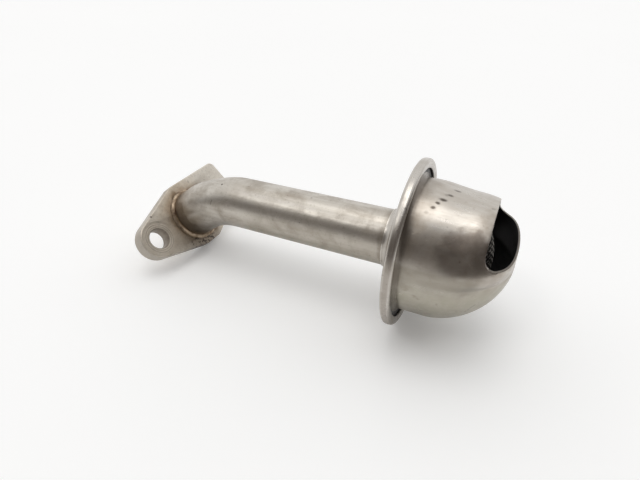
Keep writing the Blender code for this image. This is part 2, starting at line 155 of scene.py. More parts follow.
SCREEN_SHEET = 0.0003
SCREEN_SIDE_ROOM = 0.00295
SCREEN_CROWN_ROOM = 0.0067
SCREEN_DOME_LEAD = 0.0031
SCREEN_FILLET = 0.0015
SCREEN_RIM_BITE = 0.0003
BRAZE_HEIGHT = 0.0017

# Sizes that follow from these, as they do in the source
NECK_RADIUS = TUBE_RADIUS + NECK_PROUD
SPIGOT_RADIUS = NECK_RADIUS - COVER_SHEET - FIT_GAP
COVER_RADIUS = BELL_RADIUS + RIM_WIDTH
DISH_RADIUS = COVER_RADIUS - DISH_INSET
LIP_RADIUS = COVER_RADIUS - LIP_WIDTH
CRIMP_DEPTH = 2 * COVER_SHEET + SCREEN_SHEET + BELL_SHEET + 3 * FIT_GAP
CRIMP_BACK = -(CRIMP_DEPTH + BEAD_RISE) / 2
LIP_FRONT = CRIMP_BACK + CRIMP_DEPTH
SCREEN_FRONT = CRIMP_BACK + COVER_SHEET + FIT_GAP + SCREEN_SHEET
BELL_FRONT = SCREEN_FRONT + FIT_GAP + BELL_SHEET
BELL_FLANGE_RADIUS = LIP_RADIUS + BELL_OVERLAP
SCREEN_RIM_RADIUS = BELL_FLANGE_RADIUS - SCREEN_RIM_BITE
MOUTH_START = DOME_START + DOME_LENGTH - MOUTH_DEPTH
SCREEN_RADIUS = BELL_RADIUS - BELL_SHEET - SCREEN_SIDE_ROOM
SCREEN_STRAIGHT = DOME_START - SCREEN_DOME_LEAD
SCREEN_LENGTH = DOME_START + DOME_LENGTH - BELL_SHEET - SCREEN_CROWN_ROOM - SCREEN_STRAIGHT

# Fine weave of the screen
WIRE_PITCH = 0.00135
WIRE_RADIUS = 0.00021
WIRE_RISE = 0.00014
WIRE_SIDES = 5

# Fineness of the meshes, and how uneven hand-finished edges are
ROUND_SEGMENTS = 180
TUBE_SEGMENTS = 96
BEND_STEPS = 36
STRAIGHT_STEPS = 24
ARC_STEPS = 8
DOME_STEPS = 40
BRAZE_SEGMENTS = 240
LIP_WOBBLE = 0.00010
BRAZE_WIDTH = 0.0016
BRAZE_WOBBLE = 0.00022
SEAM_GAP = 0.00004
EDGE_ROUNDING = 0.00012
SHARP_ANGLE = math.radians(35)
BELL_SHARP_ANGLE = math.radians(50)
FLOOR_FACING = 0.8
BRAZE_SEAT = 0.00005
BRAZE_TOE = 0.08


class Surface:
    """A procedural material and short calls that add nodes to it."""

    def __init__(self, name, metallic=1.0):
        self.material = bpy.data.materials.new(name)
        self.material.use_nodes = True
        self.nodes = self.material.node_tree.nodes
        self.links = self.material.node_tree.links
        self.shader = self.nodes["Principled BSDF"]
        self.shader.inputs["Metallic"].default_value = metallic
        self.place = self.strainer_place()

    def add(self, kind, **settings):
        """Adds a node with its settings."""
        node = self.nodes.new(kind)
        for key, value in settings.items():
            setattr(node, key, value)
        return node

    def wire(self, value, socket):
        """Sets a socket to a number, a colour or another node's output."""
        if isinstance(value, bpy.types.NodeSocket):
            self.links.new(value, socket)
        elif value is not None:
            socket.default_value = value

    def strainer_place(self):
        """Position in the strainer's frame."""
        coords = self.add("ShaderNodeTexCoord")
        mapping = self.add("ShaderNodeMapping", vector_type="POINT")
        back = REST.inverted()
        mapping.inputs["Location"].default_value = back.translation
        mapping.inputs["Rotation"].default_value = back.to_euler()
        self.wire(coords.outputs["Object"], mapping.inputs["Vector"])
        return mapping.outputs[0]

    def split(self, vector):
        """The three parts of a vector."""
        node = self.add("ShaderNodeSeparateXYZ")
        self.wire(vector, node.inputs[0])
        return node.outputs

    def join(self, x, y, z):
        """A vector from its three parts."""
        node = self.add("ShaderNodeCombineXYZ")
        for value, socket in zip((x, y, z), node.inputs):
            self.wire(value, socket)
        return node.outputs[0]

    def math(self, operation, a, b=None, clamp=False):
        """A Math node."""
        node = self.add("ShaderNodeMath", operation=operation, use_clamp=clamp)
        self.wire(a, node.inputs[0])
        self.wire(b, node.inputs[1])
        return node.outputs[0]

    def scale(self, vector, factors):
        """A vector times another."""
        node = self.add("ShaderNodeVectorMath", operation="MULTIPLY")
        self.wire(vector, node.inputs[0])
        self.wire(factors, node.inputs[1])
        return node.outputs[0]

    def distance(self, vector, point):
        """Distance of a position from a point."""
        node = self.add("ShaderNodeVectorMath", operation="DISTANCE")
        self.wire(vector, node.inputs[0])
        self.wire(point, node.inputs[1])
        return node.outputs["Value"]

    def noise(self, vector, scale, detail=3.0, roughness=0.55, distortion=0.0):
        """Noise from 0 to 1."""
        node = self.add("ShaderNodeTexNoise", noise_dimensions="3D")
        self.wire(vector, node.inputs["Vector"])
        node.inputs["Scale"].default_value = scale
        node.inputs["Detail"].default_value = detail
        node.inputs["Roughness"].default_value = roughness
        node.inputs["Distortion"].default_value = distortion
        return node.outputs[0]

    def ragged(self, scale, amount):
        """The place, shifted by noise, so that what is measured from it gets a ragged edge."""
        shift = self.add("ShaderNodeTexNoise", noise_dimensions="3D")
        self.wire(self.place, shift.inputs["Vector"])
        shift.inputs["Scale"].default_value = scale
        shift.inputs["Detail"].default_value = 4.0
        centred = self.add("ShaderNodeVectorMath", operation="SUBTRACT")
        self.wire(shift.outputs["Color"], centred.inputs[0])
        centred.inputs[1].default_value = (0.5, 0.5, 0.5)
        moved = self.add("ShaderNodeVectorMath", operation="ADD")
        self.wire(self.place, moved.inputs[0])
        self.wire(self.scale(centred.outputs[0], (amount, amount, amount)), moved.inputs[1])
        return moved.outputs[0]

    def ramp(self, value, low, high, start=0.0, end=1.0, smooth=True):
        """Maps a value between two limits to a start and an end, held beyond them."""
        node = self.add("ShaderNodeMapRange")
        node.interpolation_type = "SMOOTHSTEP" if smooth else "LINEAR"
        self.wire(value, node.inputs["Value"])
        limits = {"From Min": low, "From Max": high, "To Min": start, "To Max": end}
        for key, number in limits.items():
            self.wire(number, node.inputs[key])
        return node.outputs[0]

    def mix(self, share, first, second):
        """A colour between two others."""
        node = self.add("ShaderNodeMix", data_type="RGBA")
        self.wire(share, node.inputs["Factor"])
        self.wire(first, node.inputs["A"])
        self.wire(second, node.inputs["B"])
        return node.outputs["Result"]

    def bump(self, height, depth, normal=None):
        """Tilts the surface by a height of 0 to 1 times a depth in metres."""
        node = self.add("ShaderNodeBump")
        node.inputs["Strength"].default_value = 1.0
        node.inputs["Distance"].default_value = depth
        self.wire(height, node.inputs["Height"])
        self.wire(normal, node.inputs["Normal"])
        return node.outputs[0]

    def tint(self, colour, share, strength, tint):
        """Mixes a tint into a colour, up to a strength, where share is 1."""
        return self.mix(self.math("MULTIPLY", share, strength), colour, tint)

    def finish(self, colour, roughness, normal=None):
        """Feeds the shader."""
        self.wire(colour, self.shader.inputs["Base Color"])
        self.wire(roughness, self.shader.inputs["Roughness"])
        self.wire(normal, self.shader.inputs["Normal"])
        return self.material


def rgb(red, green, blue):
    """An opaque colour."""
    return (red, green, blue, 1.0)


def polar(surface):
    """Axial place, radius and turn of a point about the strainer's axis."""
    x, y, z = surface.split(surface.place)[:3]
    radius = surface.math("SQRT", surface.math("ADD", surface.math("MULTIPLY", y, y),
                                               surface.math("MULTIPLY", z, z)))
    turn = surface.math("ARCTAN2", y, z)
    return x, radius, turn


def worn_steel(surface, light, dark, grain, blotch_scale=90.0, smooth=0.27):
    """Colour, roughness and normal of satin steel with stains, pits and fine grain."""
    blotches = surface.noise(surface.place, blotch_scale, 5.0, 0.62, 0.4)
    fine = surface.noise(surface.place, blotch_scale * 9, 3.0, 0.6)
    colour = surface.tint(light, surface.ramp(blotches, 0.40, 0.72), 0.62, dark)
    flecks = surface.ramp(fine, 0.58, 0.74)
    colour = surface.tint(colour, flecks, 0.28, dark)
    specks = surface.ramp(surface.noise(surface.place, 430.0, 1.0, 0.4), 0.735, 0.79)
    colour = surface.tint(colour, specks, 0.45, rgb(0.10, 0.085, 0.07))
    streaks = surface.noise(grain, 1.0, 3.0, 0.55)
    colour = surface.mix(surface.ramp(streaks, 0.35, 0.65, 0.0, 0.22), colour, dark)
    roughness = surface.math("ADD", surface.ramp(blotches, 0.35, 0.75, smooth, smooth + 0.13),
                             surface.ramp(streaks, 0.3, 0.7, -0.03, 0.03))
    pits = surface.ramp(surface.noise(surface.place, 1400.0, 1.0, 0.4), 0.66, 0.78)
    normal = surface.bump(streaks, 0.0000035)
    normal = surface.bump(fine, 0.000012, normal)
    normal = surface.bump(surface.math("SUBTRACT", 1.0, pits), 0.00002, normal)
    return colour, roughness, normal


def stain(surface, colour, place, spot, reach, tint, strength, stretch=(1.0, 1.0, 1.0)):
    """Tints the colour round a spot, out to a soft edge; stretch narrows it along each axis."""
    centre = [a * b for a, b in zip(spot, stretch)]
    if stretch != (1.0, 1.0, 1.0):
        place = surface.scale(place, stretch)
    near = surface.ramp(surface.distance(place, centre), reach * 1.5, reach * 0.4)
    return surface.tint(colour, near, strength, tint)


def tube_steel():
    """Satin tube, drawn along its length and browned by heat near the braze, with painted shade on
    the lower side of its straight part and darker patches beneath its bend.
    """
    surface = Surface("satin_tube_steel")
    grain = surface.scale(surface.place, (35.0, 700.0, 700.0))
    colour, roughness, normal = worn_steel(
        surface, rgb(0.60, 0.565, 0.51), rgb(0.31, 0.265, 0.215), grain, 110.0, 0.34)
    rough_edge = surface.ragged(160.0, 0.006)
    to_flange = surface.distance(rough_edge, FLANGE_CENTRE)
    x, _, z = surface.split(rough_edge)[:3]
    # Painted shade: the lower side of the straight part is tinted darker, and darker still near the
    # bottom.
    straight = surface.ramp(x, -0.078, -0.062)
    low = surface.math("MULTIPLY", surface.ramp(z, 0.0045, 0.0020), straight)
    colour = surface.tint(colour, low, 0.4, rgb(0.33, 0.29, 0.235))
    low = surface.math("MULTIPLY", surface.ramp(z, -0.0015, -0.0055), straight)
    colour = surface.tint(colour, low, 0.5, rgb(0.30, 0.27, 0.21))
    speckle = surface.ramp(surface.noise(surface.place, 900.0, 2.0, 0.5), 0.62, 0.70)
    colour = surface.tint(colour, speckle, 0.22, rgb(0.20, 0.16, 0.12))
    heat = surface.ramp(to_flange, 0.021, 0.012)
    colour = surface.tint(colour, heat, 0.45, rgb(0.37, 0.31, 0.25))
    line = surface.ramp(to_flange, 0.0134, 0.0125)
    colour = surface.tint(colour, line, 0.5, rgb(0.13, 0.10, 0.08))
    seam = surface.ramp(x, -NECK_REACH - 0.0022, -NECK_REACH - 0.0004)
    colour = surface.tint(colour, seam, 0.45, rgb(0.20, 0.165, 0.13))
    # Darker patches beneath the bend
    for spot, reach, strength in BEND_DARKENING:
        colour = stain(surface, colour, rough_edge, spot, reach, rgb(0.17, 0.145, 0.12), strength)
    for spot, reach, strength in TUBE_MARKS:
        colour = stain(surface, colour, surface.place, spot, reach,
                       rgb(0.05, 0.035, 0.03), strength)
    return surface.finish(colour, roughness, normal)


def flange_steel():
    """Machined flange with tan heat tint, grime in its pits, a crust on its foot and darkening
    towards the foot, with painted light and shade: a paler far lug, a darker near lug, darker edge
    faces and shade inside the bolt holes.
    """
    surface = Surface("stained_flange_steel", metallic=0.4)
    grain = surface.scale(surface.place, (300.0, 300.0, 300.0))
    colour, roughness, normal = worn_steel(
        surface, rgb(0.75, 0.69, 0.60), rgb(0.46, 0.39, 0.30), grain, 150.0, 0.36)
    rough_edge = surface.ragged(180.0, 0.005)
    to_tube = surface.distance(rough_edge, FLANGE_CENTRE)
    across = surface.split(rough_edge)[1]
    # Painted light: the far lug is paler.
    painted_light_far_lug = surface.ramp(across, 0.002, 0.016, 0.0, 0.6)
    colour = surface.mix(painted_light_far_lug, colour, rgb(0.87, 0.82, 0.735))
    # Painted shade: the near lug is darker.
    painted_shade_near_lug = surface.ramp(across, -0.012, -0.022, 0.0, 0.45)
    colour = surface.mix(painted_shade_near_lug, colour, rgb(0.60, 0.545, 0.465))
    near_tube = surface.ramp(to_tube, 0.021, 0.012)
    colour = surface.tint(colour, near_tube, 0.5, rgb(0.66, 0.53, 0.38))
    rust = surface.ramp(to_tube, 0.0158, 0.0128)
    colour = surface.tint(colour, rust, 0.5, rgb(0.38, 0.25, 0.14))
    # Painted shade: faces that do not face along the flange's axis are darker.
    facing = surface.add("ShaderNodeVectorMath", operation="DOT_PRODUCT")
    surface.wire(surface.add("ShaderNodeTexCoord").outputs["Normal"], facing.inputs[0])
    facing.inputs[1].default_value = REST.to_3x3() @ FLANGE_AXIS
    shaded_sides = surface.ramp(surface.math("ABSOLUTE", facing.outputs["Value"]), 0.8, 0.4)
    colour = surface.tint(colour, shaded_sides, 0.6, rgb(0.36, 0.32, 0.27))
    grit = surface.ramp(surface.noise(surface.place, 1100.0, 3.0, 0.7), 0.50, 0.68)
    colour = surface.tint(colour, grit, 0.3, rgb(0.30, 0.25, 0.20))
    # Darker towards the foot.
    darker_near_foot = surface.ramp(surface.distance(rough_edge, FLANGE_CRUST), 0.0175, 0.0070)
    colour = surface.tint(colour, darker_near_foot, 0.6, rgb(0.25, 0.215, 0.18))
    crust = surface.ramp(surface.distance(rough_edge, FLANGE_CRUST), 0.0095, 0.0055)
    flakes = surface.ramp(surface.noise(surface.place, 900.0, 3.0, 0.65), 0.48, 0.60)
    crusted = surface.math("MULTIPLY", crust, flakes)
    colour = surface.tint(colour, crusted, 0.85, rgb(0.045, 0.035, 0.03))
    # Painted shade inside the bolt holes.
    for hole in BOLT_HOLES:
        shaded_hole_wall = surface.ramp(surface.distance(surface.place, hole), 0.0058, 0.0050)
        colour = surface.tint(colour, shaded_hole_wall, 0.7, rgb(0.20, 0.16, 0.12))
    for spot, reach, strength in FLANGE_MARKS:
        colour = stain(surface, colour, surface.place, spot, reach, rgb(0.06, 0.04, 0.03), strength)
    coarse = surface.noise(surface.place, 520.0, 3.0, 0.6)
    normal = surface.bump(coarse, 0.00004, normal)
    for hole in BOLT_HOLES:
        out = surface.distance(surface.place, hole)
        rings = surface.math("SINE", surface.math("MULTIPLY", out, 2 * math.pi / RING_PITCH))
        rings = surface.math("MULTIPLY", rings, surface.ramp(out, 0.0080, 0.0073))
        normal = surface.bump(rings, 0.00004, normal)
        grooves = surface.ramp(rings, 0.0, 1.0, 0.0, 0.55)
        colour = surface.mix(grooves, colour, rgb(0.32, 0.27, 0.22))
    normal = surface.bump(crusted, 0.00015, normal)
    return surface.finish(colour, roughness, normal)


def braze_metal():
    """Heat-stained braze: grey with straw and rust."""
    surface = Surface("heat_stained_braze")
    puddles = surface.noise(surface.place, 230.0, 3.0, 0.55, 0.3)
    rust = surface.ramp(puddles, 0.40, 0.66)
    colour = surface.mix(rust, rgb(0.44, 0.35, 0.255), rgb(0.14, 0.09, 0.06))
    roughness = surface.ramp(puddles, 0.35, 0.7, 0.34, 0.58)
    normal = surface.bump(puddles, 0.00008)
    return surface.finish(colour, roughness, normal)


def cover_steel():
    """Pressed cover with grain that runs round it, painted shade on its lip's inner edge, on the
    outside of its rolled rim below the top and on its lower side, and a painted highlight along the
    neck's end.
    """
    surface = Surface("satin_cover_steel")
    x, radius, turn = polar(surface)
    grain = surface.join(surface.math("MULTIPLY", x, 2500.0),
                         surface.math("MULTIPLY", radius, 2500.0),
                         surface.math("MULTIPLY", turn, 2.0))
    colour, roughness, normal = worn_steel(
        surface, rgb(0.57, 0.54, 0.50), rgb(0.36, 0.32, 0.27), grain)
    # Painted shade on the lip's front face near its inner edge.
    shaded_lip_edge = surface.math("MULTIPLY", surface.ramp(x, 0.0000, 0.0009),
                          surface.ramp(radius, LIP_RADIUS + 0.0016, LIP_RADIUS + 0.0004))
    colour = surface.tint(colour, shaded_lip_edge, 0.35, rgb(0.16, 0.13, 0.105))
    # Painted shade on the outside of the rolled rim, all round but its top.
    rolled = surface.math("MULTIPLY", surface.ramp(surface.math("ABSOLUTE", x), 0.0013, 0.0006),
                          surface.ramp(surface.split(surface.place)[2], 0.0235, 0.0150))
    rolled = surface.math("MULTIPLY", rolled, surface.ramp(radius, 0.0311, 0.0316))
    colour = surface.tint(colour, rolled, 0.45, rgb(0.25, 0.21, 0.175))
    # Painted shade on the lower side.
    shaded_underside = surface.ramp(surface.split(surface.place)[2], -0.008, -0.022)
    colour = surface.tint(colour, shaded_underside, 0.5, rgb(0.25, 0.22, 0.185))
    seam = surface.ramp(surface.split(surface.ragged(220.0, 0.003))[0], -NECK_REACH + 0.0016,
                        -NECK_REACH)
    colour = surface.tint(colour, seam, 0.3, rgb(0.25, 0.21, 0.17))
    # Painted highlight: a light line along the neck's end.
    sheared = surface.ramp(x, -NECK_REACH + 0.0003, -NECK_REACH + 0.0001)
    colour = surface.mix(sheared, colour, rgb(0.66, 0.63, 0.58))
    return surface.finish(colour, roughness, normal)


def bell_steel():
    """Deep-drawn bell with grain along its draw, brown stains and a row of dark burn spots, and
    painted light and shade: a darker lower half, a dark reflected stripe across its side and shade
    at its root.
    """
    surface = Surface("satin_bell_steel")
    x, out, around = polar(surface)
    grain = surface.join(surface.math("MULTIPLY", x, 90.0),
                         surface.math("MULTIPLY", out, 90.0),
                         surface.math("MULTIPLY", around, 14.0))
    colour, roughness, normal = worn_steel(
        surface, rgb(0.565, 0.53, 0.482), rgb(0.34, 0.285, 0.23), grain, 75.0, 0.29)
    rough_edge = surface.ragged(240.0, 0.0012)
    for along, degrees, length, strength in DARK_SPOTS:
        turn = math.radians(degrees)
        radius = BELL_RADIUS - hood_set_in(math.cos(turn), along)
        spot = (along, radius * math.sin(turn), radius * math.cos(turn))
        colour = stain(surface, colour, rough_edge, spot, SPOT_REACH, rgb(0.05, 0.038, 0.03),
                       strength, (1 / length, 1.0, 1.0))
    ragged = surface.ragged(260.0, 0.006)
    for spot, reach, strength in BROWN_STAINS:
        colour = stain(surface, colour, ragged, spot, reach, rgb(0.15, 0.12, 0.10), strength)
    along, _, up = surface.split(ragged)[:3]
    film = surface.math("MULTIPLY", surface.ramp(along, 0.0095, 0.0035),
                        surface.ramp(up, 0.004, 0.022))
    colour = surface.tint(colour, film, 0.42, rgb(0.23, 0.19, 0.15))
    # Painted shade: the lower half is tinted darker, in mottled patches.
    low = surface.ramp(up, 0.004, -0.004)
    mottle = surface.noise(surface.place, 170.0, 4.0, 0.65, 0.3)
    colour = surface.mix(surface.math("MULTIPLY", low, surface.ramp(mottle, 0.38, 0.62, 0.95, 0.6)),
                         colour, rgb(0.42, 0.395, 0.325))
    # Darker patches in the lower half: mottled stains and painted shade.
    stain_and_shade_blots = surface.math("MULTIPLY", low, surface.ramp(mottle, 0.54, 0.70, 0.0, 0.5))
    colour = surface.mix(stain_and_shade_blots, colour, rgb(0.26, 0.225, 0.175))
    # Painted reflection: a dark stripe across the side of the bell.
    painted_dark_band = surface.math("MULTIPLY", surface.ramp(up, 0.0095, 0.0050),
                        surface.ramp(up, -0.004, 0.0035))
    painted_dark_band = surface.math("MULTIPLY", painted_dark_band, surface.ramp(along, 0.030, 0.024))
    colour = surface.tint(colour, painted_dark_band, 0.7, rgb(0.27, 0.245, 0.20))
    for spot in SCRATCH:
        colour = stain(surface, colour, rough_edge, spot, 0.00045, rgb(0.17, 0.145, 0.115), 0.5)
    # Painted shade in the root beside the rolled lip.
    root_shade = surface.ramp(surface.split(rough_edge)[0], 0.0036, 0.0016)
    colour = surface.tint(colour, root_shade, 0.65, rgb(0.085, 0.068, 0.055))
    return surface.finish(colour, roughness, normal)


def bell_inside():
    """Inside of the bell, near black."""
    surface = Surface("near_black_inside", metallic=0.0)
    film = surface.noise(surface.place, 160.0, 4.0, 0.6)
    colour = surface.mix(film, rgb(0.035, 0.034, 0.036), rgb(0.055, 0.053, 0.053))
    roughness = surface.ramp(film, 0.3, 0.7, 0.42, 0.6)
    normal = surface.bump(surface.noise(surface.place, 600.0, 3.0, 0.6), 0.00003)
    return surface.finish(colour, roughness, normal)


def sheared_edge():
    """Dull sheared edge of the bell's sheet."""
    surface = Surface("dull_sheared_edge")
    film = surface.noise(surface.place, 700.0, 3.0, 0.6)
    colour = surface.mix(film, rgb(0.13, 0.115, 0.10), rgb(0.25, 0.225, 0.195))
    normal = surface.bump(film, 0.00002)
    return surface.finish(colour, surface.ramp(film, 0.3, 0.7, 0.42, 0.6), normal)


def screen_wire():
    """Oil-darkened steel wire."""
    surface = Surface("dark_screen_wire")
    film = surface.noise(surface.place, 300.0, 3.0, 0.6)
    colour = surface.mix(film, rgb(0.20, 0.19, 0.175), rgb(0.42, 0.40, 0.37))
    roughness = surface.ramp(film, 0.3, 0.7, 0.35, 0.55)
    normal = surface.bump(surface.noise(surface.place, 5000.0, 2.0), 0.00001)
    return surface.finish(colour, roughness, normal)


def arc(centre, radius, start, end, steps=ARC_STEPS):
    """Points of an arc in a plane, from one angle in degrees to another."""
    angles = [math.radians(start + (end - start) * i / steps) for i in range(steps + 1)]
    return [(centre[0] + radius * math.cos(a), centre[1] + radius * math.sin(a)) for a in angles]


def offset_line(points, distance):
    """A line at a set distance to the right of another, mitred at its corners."""
    line = [Vector(p) for p in points]
    normals = []
    for start, end in zip(line, line[1:]):
        along = (end - start).normalized()
        normals.append(Vector((along.y, -along.x)))
    shifted = []
    for i, point in enumerate(line):
        before = normals[max(i - 1, 0)]
        after = normals[min(i, len(normals) - 1)]
        mean = (before + after).normalized()
        shifted.append(tuple(point + mean * distance / mean.dot(after)))
    return shifted


def join_rows(bm, rows, closed):
    """Joins rows of vertices, each either a full turn or a single pole, into a skin."""
    pairs = list(zip(rows, rows[1:]))
    if closed:
        pairs.append((rows[-1], rows[0]))
    for first, second in pairs:
        count = max(len(first), len(second))
        for i in range(count):
            j = (i + 1) % count
            corners = [first[i % len(first)], first[j % len(first)]]
            corners += [second[j % len(second)], second[i % len(second)]]
            bm.faces.new(list(dict.fromkeys(corners)))


def turned(section, segments, closed=True):
    """Turns a section about the X axis; section(angle) gives (x, radius) points."""
    bm = bmesh.new()
    turns = [2 * math.pi * i / segments for i in range(segments)]
    sections = [section(turn) for turn in turns]
    rows = []
    for k, (x, radius) in enumerate(sections[0]):
        if radius == 0:
            rows.append([bm.verts.new((x, 0, 0))])
            continue
        row = []
        for turn, points in zip(turns, sections):
            x, radius = points[k]
            row.append(bm.verts.new((x, radius * math.sin(turn), radius * math.cos(turn))))
        rows.append(row)
    join_rows(bm, rows, closed)
    return bm


def wobble(turn, pitch, seed):
    """Smooth unevenness from -1 to 1 that runs round a circle."""
    spot = Vector((math.cos(turn) * pitch, math.sin(turn) * pitch, seed))
    return noise.noise(spot) + 0.5 * noise.noise(spot * 2.3)


def finish_mesh(name, bm, material, replaced, place=REST):
    """Makes a smooth-shaded piece that rides on the part and replaces a CAD node."""
    bmesh.ops.recalc_face_normals(bm, faces=bm.faces[:])
    bm.transform(place)
    mesh = bpy.data.meshes.new(name)
    bm.to_mesh(mesh)
    bm.free()
    mesh.shade_smooth()
    mesh.set_sharp_from_angle(angle=SHARP_ANGLE)
    mesh.materials.append(material)
    made = bpy.data.objects.new(name, mesh)
    bpy.context.scene.collection.objects.link(made)
    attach(made, "root")
    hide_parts(replaced)
    return made


def even_normals(piece):
    """Keeps large faces flat beside their small chamfers."""
    modifier = piece.modifiers.new("even_normals", "WEIGHTED_NORMAL")
    modifier.keep_sharp = True


def smooth_step(value):
    """Eases from 0 to 1."""
    value = min(max(value, 0), 1)
    return value * value * (3 - 2 * value)


def dome_power(height):
    """Exponent of the dome's meridian; 2 is an ellipse, and more is fuller, as above the middle."""
    share = smooth_step(height / FULLER_TO)
    return DOME_POWER_UNDER + (DOME_POWER_ABOVE - DOME_POWER_UNDER) * share


def hood_set_in(height, x):
    """How far the hood over the mouth lies inside the dome, which makes it straighter."""
    share = smooth_step((height - HOOD_FROM) / (HOOD_TO - HOOD_FROM))
    return HOOD_SET_IN * share * smooth_step((x - HOOD_START) / (HOOD_END - HOOD_START))


def dome(turn, radius, length):
    """Meridian of the dome in even steps from its start to its pole."""
    points = []
    for i in range(1, DOME_STEPS):
        share = math.sin(math.pi / 2 * i / DOME_STEPS)
        low, high = 0.0, math.pi / 2
        for _ in range(24):
            t = (low + high) / 2
            power = 2 / dome_power(math.cos(t) * math.cos(turn))
            if math.sin(t) ** power < share:
                low = t
            else:
                high = t
        x = DOME_START + length * share
        set_in = hood_set_in(math.cos(t) * math.cos(turn), x)
        points.append((x, radius * math.cos(t) ** power - set_in))
    return points + [(DOME_START + length, 0)]


def bell_section(turn):
    """Section of the bell from its inner pole, out round its flange, to its outer pole."""
    bend = (BELL_FRONT + BELL_FILLET, BELL_RADIUS + BELL_FILLET)
    inner_radius = BELL_RADIUS - BELL_SHEET
    back = BELL_FRONT - BELL_SHEET
    outside = [(BELL_FRONT, BELL_FLANGE_RADIUS), *arc(bend, BELL_FILLET, 180, 270)]
    inside = [(back, BELL_FLANGE_RADIUS), *arc(bend, BELL_FILLET + BELL_SHEET, 180, 270)]
    for step in range(1, 6):
        x = bend[0] + (DOME_START - bend[0]) * step / 5
        set_in = hood_set_in(math.cos(turn), x)
        outside.append((x, BELL_RADIUS - set_in))
        inside.append((x, inner_radius - set_in))
    outside += dome(turn, BELL_RADIUS, DOME_LENGTH)
    inside += dome(turn, inner_radius, DOME_LENGTH - BELL_SHEET)
    return inside[::-1] + outside


def mouth_cutter():
    """Prism that takes out the corner of the crown, with a rounded inner corner."""
    far = DOME_START + DOME_LENGTH + 0.002
    top = BELL_RADIUS + 0.002
    flat_start = MOUTH_START + MOUTH_FILLET
    line = [(MOUTH_START, top)]
    line += arc((flat_start, MOUTH_HEIGHT + MOUTH_FILLET), MOUTH_FILLET, 180, 270, 2 * ARC_STEPS)
    line += [(far, MOUTH_HEIGHT - MOUTH_FALL * (far - flat_start)), (far, top)]
    bm = bmesh.new()
    face = bm.faces.new([bm.verts.new((x, -top, z)) for x, z in line])
    grown = bmesh.ops.extrude_face_region(bm, geom=[face])["geom"]
    moved = [item for item in grown if isinstance(item, bmesh.types.BMVert)]
    bmesh.ops.translate(bm, verts=moved, vec=(0, 2 * top, 0))
    bmesh.ops.recalc_face_normals(bm, faces=bm.faces[:])
    bm.transform(REST @ Matrix.Rotation(-MOUTH_TURN, 4, "Z"))
    mesh = bpy.data.meshes.new("mouth_cutter")
    bm.to_mesh(mesh)
    bm.free()
    return bpy.data.objects.new("mouth_cutter", mesh)


def build_bell(material):
    """Deep-drawn bell whose mouth has a softly rounded sheared edge."""
    bell = finish_mesh("bell_shell", turned(bell_section, ROUND_SEGMENTS, closed=False),
                       material, "strainer_bell")
    cutter = mouth_cutter()
    bpy.context.scene.collection.objects.link(cutter)
    cut = bell.modifiers.new("mouth", "BOOLEAN")
    cut.operation = "DIFFERENCE"
    cut.solver = "EXACT"
    cut.object = cutter
    rounding = bell.modifiers.new("edge_rounding", "BEVEL")
    rounding.limit_method = "ANGLE"
    rounding.angle_limit = math.radians(50)
    rounding.width = EDGE_ROUNDING
    rounding.segments = 2
    rounding.use_clamp_overlap = False
    bpy.context.view_layer.update()
    finished = bpy.data.meshes.new_from_object(
        bell.evaluated_get(bpy.context.evaluated_depsgraph_get()))
    bell.modifiers.clear()
    bell.data = finished
    bpy.data.objects.remove(cutter)
    finished.shade_smooth()
    finished.set_sharp_from_angle(angle=BELL_SHARP_ANGLE)
    finished.materials.append(bell_inside())
    finished.materials.append(sheared_edge())
    middle = REST @ Vector((0.008, 0.0, 0.0))
    floor_edge = REST @ Vector((MOUTH_START, 0.0, MOUTH_HEIGHT + MOUTH_FILLET * 0.6))
    for face in finished.polygons:
        inward = face.normal.dot(face.center - middle) < 0
        past_start = face.center.x > floor_edge.x
        on_floor = face.normal.z > FLOOR_FACING and past_start and face.center.z < floor_edge.z
        if inward or on_floor:
            face.material_index = 1 if inward else 2
    return bell


def build_cover(material):
    """Pressed cover with a dished back and a rolled rim whose lip runs slightly uneven."""
    fillet_start = CRIMP_BACK - DISH_DEPTH - NECK_FILLET
    fillet_centre = NECK_RADIUS + NECK_FILLET
    slope = math.degrees(math.atan2(DISH_DEPTH, DISH_RADIUS - fillet_centre))
    outer = COVER_RADIUS - CRIMP_BEND
    back = CRIMP_BACK + CRIMP_BEND

    def section(turn):
        uneven = LIP_WOBBLE * wobble(turn, 3.0, 1.7)
        line = [(-NECK_REACH, NECK_RADIUS)]
        line += arc((fillet_start, fillet_centre), NECK_FILLET, -90, -slope)
        line += [(CRIMP_BACK, DISH_RADIUS + uneven)]
        line += arc((back, outer), CRIMP_BEND, 180, 90)
        line += arc((-back, outer), CRIMP_BEND, 90, 0)
        line += [(LIP_FRONT, LIP_RADIUS + 2 * uneven)]
        return line + offset_line(line, COVER_SHEET)[::-1]

    return finish_mesh("rolled_cover", turned(section, ROUND_SEGMENTS), material, "strainer_cover")


